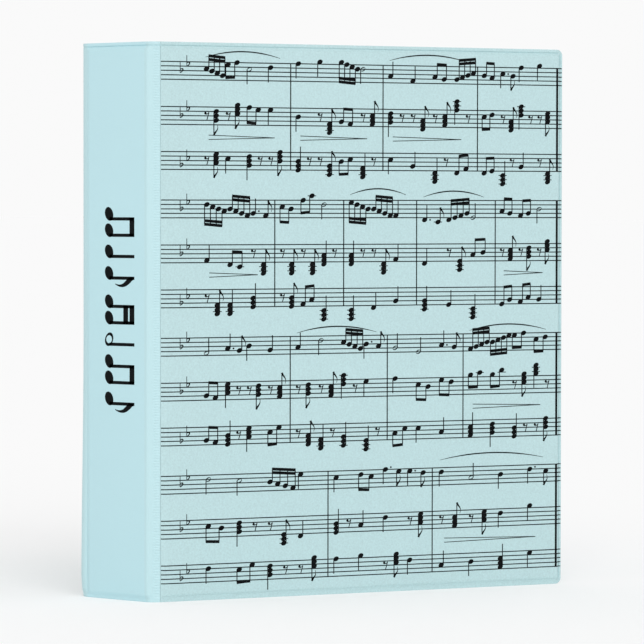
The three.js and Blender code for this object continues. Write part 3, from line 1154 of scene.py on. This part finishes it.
@dataclass
class Score:
    """An invented page of notation: even systems of three staves, filled by rules."""

    ink: Ink
    seed: int
    spacing: float = 1.84
    lines: int = 5
    line_pen: float = 0.42
    stem_pen: float = 0.44
    bar_pen: float = 0.5
    end_pen: float = 1.0
    ledger_pen: float = 0.34
    rest_pen: float = 0.38
    thin_pen: float = 0.3
    beam: float = 1.25
    beam_gap: float = 1.5
    beam_overlap: float = 0.15
    beam_slope: float = 0.25
    beamed_stem: float = 5.4
    stem: float = 6.2
    stem_side: float = 1.05
    head: Point = (2.65, 1.95)
    hollow_head: Point = (2.5, 1.75)
    hollow_pen: float = 0.42
    head_tilt: float = 24.0
    dot: Point = (0.8, 0.8)
    dot_reach: float = 2.6
    rest_dot: Point = (1.1, 1.1)
    rest_spaces: float = 2.6
    ledger_reach: float = 2.0
    line_end: float = 0.25
    end_margin: float = 3.1
    face_margin: float = 3.6
    low_clearance: float = 1.0
    middle: int = 4
    place_range: tuple[int, int] = (-1, 9)
    wanders: tuple[int, ...] = (-3, -2, -1, 1, 2, 3)
    systems: int = 4
    staves: int = 3
    bar_counts: tuple[int, ...] = (4, 5, 4, 3)
    top_margin: float = 8.2
    staff_pitch: float = 18.6
    system_pitch: float = 57.2
    first_flat: float = 8.5
    flat_pitch: float = 3.0
    flat_places: tuple[int, ...] = (4, 7)
    flat_stem: Point = (-0.9, 3.6)
    first_note: float = 17.0
    bar_margin: float = 1.5
    bar_wander: float = 4.0
    wide_bar: float = 36.0
    beat_lead: float = 0.2
    eighths_share: float = 0.42
    run_share: float = 0.25
    dotted_share: float = 0.55
    offbeat_share: float = 0.45
    rest_share: float = 0.5
    rest_chance: float = 0.5
    slur_chance: float = 0.6
    slur_ends: Point = (0.15, 0.35)
    slur_place: int = 5
    slur_lift: float = 4.2
    slur_rise: float = 3.4
    hairpin_chance: float = 0.35
    hairpin_ends: Point = (0.3, 0.6)
    hairpin_drop: float = 5.2
    hairpin_half: float = 0.9

    def build(self) -> None:
        """Draws every system of the page."""
        self.random = random.Random(self.seed)
        tall = (self.lines - 1) * self.spacing
        for system in range(self.systems):
            top = self.ink.panel.sizes.height - self.top_margin - system * self.system_pitch
            bars = self._bar_places(system)
            low = top - (self.staves - 1) * self.staff_pitch - tall
            for place in bars[:-1]:
                self.ink.upright(place, top, low, self.bar_pen)
            self.ink.upright(bars[-1], top, low, self.end_pen)
            for staff in range(self.staves):
                self._staff(top - staff * self.staff_pitch - tall, staff, bars)

    def _bar_places(self, system: int) -> list[float]:
        """Spreads a system's bar lines along the panel.

        Args:
            system: The system's number from the top.

        Returns:
            The bar lines' places, the last one at the page's end.
        """
        count = self.bar_counts[system % len(self.bar_counts)]
        usable = self.ink.panel.width - self.first_note - self.end_margin
        places = []
        for i in range(1, count + 1):
            wander = self.random.uniform(-self.bar_wander, self.bar_wander) if i < count else 0.0
            places.append(self.first_note + usable * i / count + wander)
        return places

    def _staff(self, base: float, staff: int, bars: list[float]) -> None:
        """Draws one staff with its lines, signs and notes.

        Args:
            base: The height of its lowest line.
            staff: Its number in the system, from the top.
            bars: Places of the bar lines.
        """
        far = self.ink.panel.width - self.line_end
        for i in range(self.lines):
            height = base + i * self.spacing
            self.ink.line((self.line_end, height), (far, height), self.line_pen)
        for i, position in enumerate(self.flat_places):
            self._flat(self.first_flat + self.flat_pitch * i, base, position - (2 if staff == 2 else 0))
        start = self.first_note
        previous = self.middle
        for end in bars:
            previous = self._bar(base, staff, start + self.bar_margin, end - self.bar_margin, previous)
            start = end

    def _bar(self, base: float, staff: int, start: float, end: float, previous: int) -> int:
        """Fills one bar with figures.

        Args:
            base: The height of the staff's lowest line.
            staff: The staff's number in the system.
            start: Where the bar's figures start.
            end: Where they end.
            previous: The last note's place on the staff.

        Returns:
            The place of this bar's last note.
        """
        beats = 3 if end - start < self.wide_bar else 4
        step = (end - start) / beats
        lead = previous
        lowest, highest = self.place_range
        for beat in range(beats):
            kind = self.random.choice(STAFF_BEATS[staff])
            x = start + step * (beat + self.beat_lead)
            wander = self.random.choice(self.wanders)
            previous = max(lowest, min(highest, previous + wander))
            place = previous - 5 if staff == 2 and kind is Beat.CHORD else previous
            while self._height(base, place) < self.face_margin + self.low_clearance:
                place += 1
            self._figure(kind, base, x, step, place)
        if staff == 0 and self.random.random() < self.slur_chance:
            after, before = self.slur_ends
            cleared = max(lead, previous, self.slur_place)
            self._slur(base, start + after * step, end - before * step, cleared)
        if staff == 1 and self.random.random() < self.hairpin_chance:
            after, before = self.hairpin_ends
            self._hairpin(base - self.hairpin_drop, start + after * step, end - before * step)
        return previous

    def _figure(self, kind: Beat, base: float, x: float, step: float, place: int) -> None:
        """Draws one beat's figure.

        Args:
            kind: Which figure.
            base: The height of the staff's lowest line.
            x: Where the beat starts.
            step: The beat's length.
            place: Its first note's place on the staff.
        """
        if kind is Beat.QUARTER:
            self._note(base, x, [place])
        elif kind is Beat.HALF:
            self._note(base, x, [place], hollow=True)
        elif kind is Beat.DOTTED:
            self._note(base, x, [place])
            self.ink.oval((x + self.dot_reach, self._height(base, place | 1)), self.dot)
            self._note(base, x + self.dotted_share * step, [place - 1], flag=True)
        elif kind is Beat.OFFBEAT:
            self._rest(base, x)
            self._note(base, x + self.offbeat_share * step, [place, place - 2, place - 4], flag=True)
        elif kind is Beat.CHORD:
            self._note(base, x, [place, place + 2, place + 4])
            if self.random.random() < self.rest_chance:
                self._rest(base, x + self.rest_share * step)
        elif kind is Beat.EIGHTHS:
            second = place + self.random.choice((-1, 1, 2))
            self._beamed(base, x, self.eighths_share * step, [place, second])
        else:
            climb = self.random.choice((-1, 1))
            self._beamed(base, x, self.run_share * step, [place + climb * i for i in range(4)], beams=2)

    def _height(self, base: float, place: int) -> float:
        """The height of a place on the staff, counted in half spaces from its lowest line."""
        return base + place * self.spacing / 2

    def _note(
        self, base: float, x: float, places: list[int], flag: bool = False, hollow: bool = False
    ) -> None:
        """Draws a note or chord with its stem, ledger lines and flag.

        Args:
            base: The height of the staff's lowest line.
            x: The note's place along the panel.
            places: Places of its heads on the staff.
            flag: Whether the stem has a flag.
            hollow: Whether the heads are hollow.
        """
        for place in places:
            self._head(base, x, place, hollow)
        low, high = self._height(base, min(places)), self._height(base, max(places))
        rise = 1 if sum(places) / len(places) < self.middle else -1
        root, far = (low, high) if rise > 0 else (high, low)
        side = rise * self.stem_side
        tip = far + rise * self.stem
        self.ink.upright(x + side, root, tip, self.stem_pen)
        if flag:
            FLAG.draw(self.ink, x + side, tip, -rise)

    def _head(self, base: float, x: float, place: int, hollow: bool = False) -> None:
        """Draws a note head and the ledger lines it needs.

        Args:
            base: The height of the staff's lowest line.
            x: The head's place along the panel.
            place: Its place on the staff.
            hollow: Whether it is hollow.
        """
        centre = (x, self._height(base, place))
        if hollow:
            self.ink.hollow(centre, self.hollow_head, self.head_tilt, self.hollow_pen)
        else:
            self.ink.oval(centre, self.head, self.head_tilt)
        left, right = x - self.ledger_reach, x + self.ledger_reach
        for ledger in [*range(10, place + 1, 2), *range(-2, place - 1, -2)]:
            height = self._height(base, ledger)
            self.ink.line((left, height), (right, height), self.ledger_pen)

    def _beamed(self, base: float, x: float, step: float, places: list[int], beams: int = 1) -> None:
        """Draws notes joined by beams.

        Args:
            base: The height of the staff's lowest line.
            x: The first note's place along the panel.
            step: The distance between notes.
            places: The notes' places on the staff.
            beams: How many beams join them.
        """
        rise = 1 if sum(places) / len(places) < self.middle else -1
        side = rise * self.stem_side
        heights = [self._height(base, place) for place in places]
        reach = (max(heights) if rise > 0 else min(heights)) + rise * self.beamed_stem
        slope = self.beam_slope * (heights[-1] - heights[0]) / max(step * (len(places) - 1), 1)
        tips = [reach + slope * step * i for i in range(len(places))]
        for i, height in enumerate(heights):
            self._head(base, x + i * step, places[i])
            self.ink.upright(x + i * step + side, height, tips[i], self.stem_pen)
        for beam in range(beams):
            drop = -rise * beam * self.beam_gap
            start = (x + side - self.beam_overlap, tips[0] + drop)
            end = (x + (len(places) - 1) * step + side + self.beam_overlap, tips[-1] + drop)
            self.ink.line(start, end, self.beam)

    def _rest(self, base: float, x: float) -> None:
        """Draws an eighth rest: a dot, its hook and a slanted stem.

        Args:
            base: The height of the staff's lowest line.
            x: The rest's place along the panel.
        """
        height = base + self.rest_spaces * self.spacing
        self.ink.oval((x - 0.5, height), self.rest_dot)
        REST_HOOK.draw(self.ink, x, height)
        self.ink.line((x + 1.1, height + 0.4), (x + 0.1, height - 3.0), self.rest_pen)

    def _flat(self, x: float, base: float, place: int) -> None:
        """Draws a flat sign: an upright with a bowl.

        Args:
            x: The sign's place along the panel.
            base: The height of the staff's lowest line.
            place: Its place on the staff.
        """
        height = self._height(base, place)
        self.ink.upright(x, height + self.flat_stem[0], height + self.flat_stem[1], self.thin_pen)
        FLAT_BOWL.draw(self.ink, x, height)

    def _slur(self, base: float, start: float, end: float, top: int) -> None:
        """Draws a slur over a bar.

        Args:
            base: The height of the staff's lowest line.
            start: Where it starts.
            end: Where it ends.
            top: The place on the staff that it clears.
        """
        highest = self.ink.panel.sizes.height - self.face_margin - 0.75 * self.slur_rise
        height = min(self._height(base, top) + self.slur_lift, highest)
        third = (end - start) / 3
        crest = height + self.slur_rise
        points = [(start, height), (start + third, crest), (end - third, crest), (end, height)]
        self.ink.curve(points, SLUR_PENS, 16)

    def _hairpin(self, height: float, start: float, end: float) -> None:
        """Draws a hairpin that closes to the right."""
        for half in (self.hairpin_half, -self.hairpin_half):
            self.ink.line((start, height + half), (end, height), self.thin_pen)


class Sign(Enum):
    """The plain note signs of the spine's column, with the length that each takes."""

    PAIR = 12.0
    QUARTER = 5.4
    FLAGGED = 8.2
    RUN = 12.2
    HOLLOW = 5.5


@dataclass
class SpineOrnament:
    """A generic column of plain note signs, read from the top of the spine down."""

    ink: Ink
    top: float = 163.5
    gap: float = 3.6
    centre: float = 19.2
    rise: float = 16.4
    pen: float = 1.35
    hollow_pen: float = 1.3
    beam: float = 2.7
    beam_pitch: float = 3.5
    pair_step: float = 6.8
    head_place: Point = (2.7, 2.2)
    head: Point = (6.0, 4.5)
    head_tilt: float = -66.0
    hollow_head: Point = (4.5, 6.0)
    hollow_tilt: float = -24.0
    stem_place: Point = (4.75, 2.4)
    flag: tuple[Point, ...] = ((4.9, 15.6), (5.2, 12.4), (9.6, 11.4), (7.2, 5.6))
    flag_pens: tuple[float, ...] = (1.2, 2.3, 2.0, 1.2, 0.3)
    flag_steps: int = 18

    def build(self) -> None:
        """Draws the signs from the top down."""
        along = 0.0
        order = (Sign.PAIR, Sign.QUARTER, Sign.FLAGGED, Sign.RUN, Sign.HOLLOW, Sign.PAIR, Sign.FLAGGED)
        for sign in order:
            self._sign(sign, along)
            along += sign.value + self.gap

    def _spot(self, along: float, up: float) -> Point:
        """Turns reading direction and letter height into panel coordinates."""
        return (self.centre - self.rise / 2 + up, self.top - along)

    def _note(self, along: float, hollow: bool = False) -> None:
        """Draws a note's head and the stem above its right side.

        Args:
            along: The note's start in reading direction.
            hollow: Whether its head is hollow.
        """
        centre = self._spot(along + self.head_place[0], self.head_place[1])
        if hollow:
            self.ink.hollow(centre, self.hollow_head, self.hollow_tilt, self.hollow_pen)
        else:
            self.ink.oval(centre, self.head, self.head_tilt)
        stem, foot = along + self.stem_place[0], self.stem_place[1]
        self.ink.line(self._spot(stem, foot), self._spot(stem, self.rise), self.pen)

    def _sign(self, sign: Sign, along: float) -> None:
        """Draws one sign.

        Args:
            sign: Which sign.
            along: Its start in reading direction.
        """
        self._note(along, hollow=sign is Sign.HOLLOW)
        if sign in (Sign.PAIR, Sign.RUN):
            self._note(along + self.pair_step)
            for level in range(2 if sign is Sign.RUN else 1):
                up = self.rise - self.beam / 2 - level * self.beam_pitch
                start = self._spot(along + self.stem_place[0] - self.pen / 2, up)
                end = self._spot(along + self.pair_step + self.stem_place[0] + self.pen / 2, up)
                self.ink.line(start, end, self.beam)
        if sign is Sign.FLAGGED:
            points = [self._spot(along + right, up) for right, up in self.flag]
            self.ink.curve(points, self.flag_pens, self.flag_steps)


# Ring metal


@dataclass
class RingMetal:
    """The housing, plates, half rings, rivets and levers."""

    wire_sides: int = 28
    ring_steps: int = 64
    centre_height: float = 14.2
    mechanism_depth: float = 3.0
    ring_inner_diameter: float = 25.4
    wire_diameter: float = 2.8
    foot_reach: float = 6.3
    tip_gap: float = 0.15
    tip_round: float = 0.5

    def build(self, sizes: CaseSizes) -> None:
        """Dresses the steel nodes and bends the half rings.

        Args:
            sizes: The case's sizes.
        """
        plate = PlatedFinish("nickel plate").build()
        wire = PlatedFinish("nickel wire", roughness=0.16, scratch_scale=(900.0, 900.0, 900.0)).build()
        kept = ["ring_housing", "front_hinge_plate", "rear_hinge_plate"]
        for end in ("upper", "lower"):
            kept += [f"{end}_rivet", f"{end}_lever", f"{end}_lever_pin"]
        for node in kept:
            dress(node, plate)
        for prefix, sign in (("front", 1), ("rear", -1)):
            for level in ("upper", "middle", "lower"):
                self._half_ring(sizes, prefix, sign, level, wire)

    def _half_ring(
        self, sizes: CaseSizes, prefix: str, sign: int, level: str, material: bpy.types.Material
    ) -> None:
        """Bends one half ring from round wire, with a rounded tip.

        Args:
            sizes: The case's sizes.
            prefix: Which plate it stands on, front or rear.
            sign: The sign of that side's X.
            level: Its place up the housing.
            material: The wire's finish.
        """
        node = f"{prefix}_half_ring_{level}"
        low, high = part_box(node)
        middle_z = (low.z + high.z) / 2 / MM
        mean = self.ring_inner_diameter / 2 + self.wire_diameter / 2
        centre_y = sizes.face_y + self.mechanism_depth + self.centre_height
        first = -math.acos(self.foot_reach / mean)
        last = math.acos(self.tip_gap / mean)
        rings = []
        for share in shares(self.ring_steps):
            angle = first + (last - first) * share
            radius = self._radius((last - angle) * mean)
            ring = []
            for k in range(self.wire_sides):
                turn = 2 * math.pi * k / self.wire_sides
                reach = mean + radius * math.cos(turn)
                x, y = reach * math.cos(angle), centre_y + reach * math.sin(angle)
                point = Vector((sign * x * MM, y * MM, (middle_z + radius * math.sin(turn)) * MM))
                point.y = max(point.y, low.y)
                ring.append(point)
            rings.append(ring)
        vertices, faces = loft(rings)
        piece = mesh_object(f"{node}_wire", vertices, faces, material, smooth_angle=50)
        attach(piece, f"{prefix}_ring_plate")
        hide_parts(node)
        LOG.info("bent %s with %d faces", piece.name, len(faces))

    def _radius(self, left: float) -> float:
        """The wire's radius near its rounded tip.

        Args:
            left: The length of wire that is left to the tip.

        Returns:
            The radius in millimetres.
        """
        radius = self.wire_diameter / 2
        if left < self.tip_round:
            inside = max(self.tip_round**2 - (self.tip_round - left) ** 2, 0)
            radius -= self.tip_round - math.sqrt(inside)
        return radius


# Stage, lights and camera


@dataclass(frozen=True)
class Shot:
    """The camera, found by fitting the photograph's outline."""

    azimuth: float = 42.5677
    distance: float = 1630.8
    height: float = 165.41
    pitch: float = 1.7398
    yaw: float = -3.0281
    roll: float = 0.0722
    focal_pixels: float = 3915.2
    frame_pixels: float = 644.0
    sensor: float = 36.0
    clip: Point = (0.05, 60.0)

    def build(self, sizes: CaseSizes) -> None:
        """Places the camera and makes it the scene's.

        Args:
            sizes: The case's sizes.
        """
        azimuth = math.radians(self.azimuth)
        look = math.radians(self.azimuth + self.yaw)
        pitch = math.radians(self.pitch)
        place = Vector((
            self.distance * math.sin(azimuth),
            sizes.face_y - self.distance * math.cos(azimuth),
            self.height,
        ))
        forward = Vector((
            -math.sin(look) * math.cos(pitch), math.cos(look) * math.cos(pitch), -math.sin(pitch)
        ))
        right = forward.cross(Vector((0, 0, 1))).normalized()
        up = right.cross(forward)
        roll = math.radians(self.roll)
        turned_right = right * math.cos(roll) + up * math.sin(roll)
        turned_up = up * math.cos(roll) - right * math.sin(roll)
        data = bpy.data.cameras.new("camera")
        data.sensor_width = self.sensor
        data.lens = self.focal_pixels / self.frame_pixels * self.sensor
        data.clip_start, data.clip_end = self.clip
        camera = bpy.data.objects.new("camera", data)
        matrix = Matrix((turned_right, turned_up, -forward)).transposed().to_4x4()
        matrix.translation = place * MM
        camera.matrix_world = matrix
        bpy.context.scene.collection.objects.link(camera)
        bpy.context.scene.camera = camera


@dataclass(frozen=True)
class Studio:
    """A pale floor under soft, even light."""

    white: float = 0.955
    sky_light: float = 0.8
    key_light: float = 1.1
    key_azimuth: float = 50.0
    key_elevation: float = 35.0
    key_size: float = 45.0
    shown_white: float = 0.3
    ceiling: float = 0.3
    ceiling_heights: Point = (0.08, 0.6)
    floor_half: float = 30.0

    def build(self) -> None:
        """Makes the world, the key light and the floor."""
        self._world()
        self._key()
        self._floor()

    def _world(self) -> None:
        """An even surround: white to the camera, and duller overhead in reflections."""
        world = bpy.data.worlds.new("studio")
        bpy.context.scene.world = world
        world.use_nodes = True
        world.node_tree.nodes.clear()
        nodes = Nodes(world.node_tree)
        path = nodes.add("ShaderNodeLightPath").outputs
        direction = nodes.add("ShaderNodeTexCoord").outputs["Generated"]
        height = nodes.add("ShaderNodeSeparateXYZ", {"Vector": direction}).outputs["Z"]
        overhead = nodes.ramp(height, self.ceiling_heights, (self.white,) * 3, (self.ceiling,) * 3)
        lit = nodes.add("ShaderNodeBackground", {"Color": (1, 1, 1, 1), "Strength": self.sky_light})
        mirrored = nodes.add("ShaderNodeBackground", {"Color": overhead, "Strength": 1.0})
        seen = nodes.add("ShaderNodeBackground", {"Color": (1, 1, 1, 1), "Strength": self.white})
        gloss = nodes.math("MAXIMUM", path["Is Glossy Ray"], path["Is Transmission Ray"])
        surround = nodes.mix(path["Is Camera Ray"], nodes.mix(gloss, lit, mirrored), seen)
        nodes.add("ShaderNodeOutputWorld", {"Surface": surround.outputs[0]})

    def _key(self) -> None:
        """One large soft lamp, to the right of the camera."""
        data = bpy.data.lights.new("key", "SUN")
        data.energy = self.key_light
        data.angle = math.radians(self.key_size)
        key = bpy.data.objects.new("key", data)
        azimuth, elevation = math.radians(self.key_azimuth), math.radians(self.key_elevation)
        flat = math.cos(elevation)
        toward = Vector((math.sin(azimuth) * flat, -math.cos(azimuth) * flat, math.sin(elevation)))
        key.rotation_euler = toward.to_track_quat("Z", "Y").to_euler()
        bpy.context.scene.collection.objects.link(key)

    def _floor(self) -> None:
        """A wide pale floor that keeps the object's shadow and meets the background's tone."""
        half = self.floor_half
        corners = [Vector((x * half, y * half, 0)) for x, y in ((-1, -1), (1, -1), (1, 1), (-1, 1))]
        material, nodes = new_material("floor paper")
        path = nodes.add("ShaderNodeLightPath").outputs
        seen = nodes.math("MAXIMUM", path["Is Camera Ray"], path["Is Glossy Ray"])
        share = nodes.math("MULTIPLY", seen, self.shown_white)
        light = self.sky_light + self.key_light * math.sin(math.radians(self.key_elevation)) / math.pi
        tone = self.white / light
        diffuse = nodes.add("ShaderNodeBsdfDiffuse", {"Color": (tone, tone, tone, 1)})
        shown = nodes.add("ShaderNodeEmission", {"Color": (1, 1, 1, 1), "Strength": self.white})
        mixed = nodes.mix(share, diffuse, shown)
        nodes.add("ShaderNodeOutputMaterial", {"Surface": mixed.outputs[0]})
        floor = mesh_object("floor", corners, [(0, 1, 2, 3)], material)


def main() -> None:
    """Builds the dressed binder around the frame."""
    logging.basicConfig(level=logging.INFO, format="%(name)s: %(message)s")
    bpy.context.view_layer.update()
    sizes = CaseSizes.from_frame()
    LOG.info("case sizes: %s", sizes)
    bpy.context.scene.view_settings.view_transform = "Standard"
    Shot().build(sizes)
    Studio().build()

    panels = make_panels(sizes)
    Case(sizes, panels).build()
    hinge = VinylFinish("hinge vinyl", (0.495, 0.705, 0.742), mottle=0.01).build()
    for side in Side:
        HingeStrip(sizes, side, panels[side.name.lower()]).build(hinge)

    ink = InkFinish("black ink").build()
    for name, seed in (("front", 11), ("back", 23)):
        score_ink = Ink(panels[name], mirrored=name == "back")
        Score(score_ink, seed).build()
        score_ink.finish(f"{name}_print", ink, "printed_vinyl")
    spine_ink = Ink(panels["spine"])
    SpineOrnament(spine_ink).build()
    spine_ink.finish("spine_ornament", ink, "outer_vinyl")

    RingMetal().build(sizes)


if __name__ == "__main__":
    main()
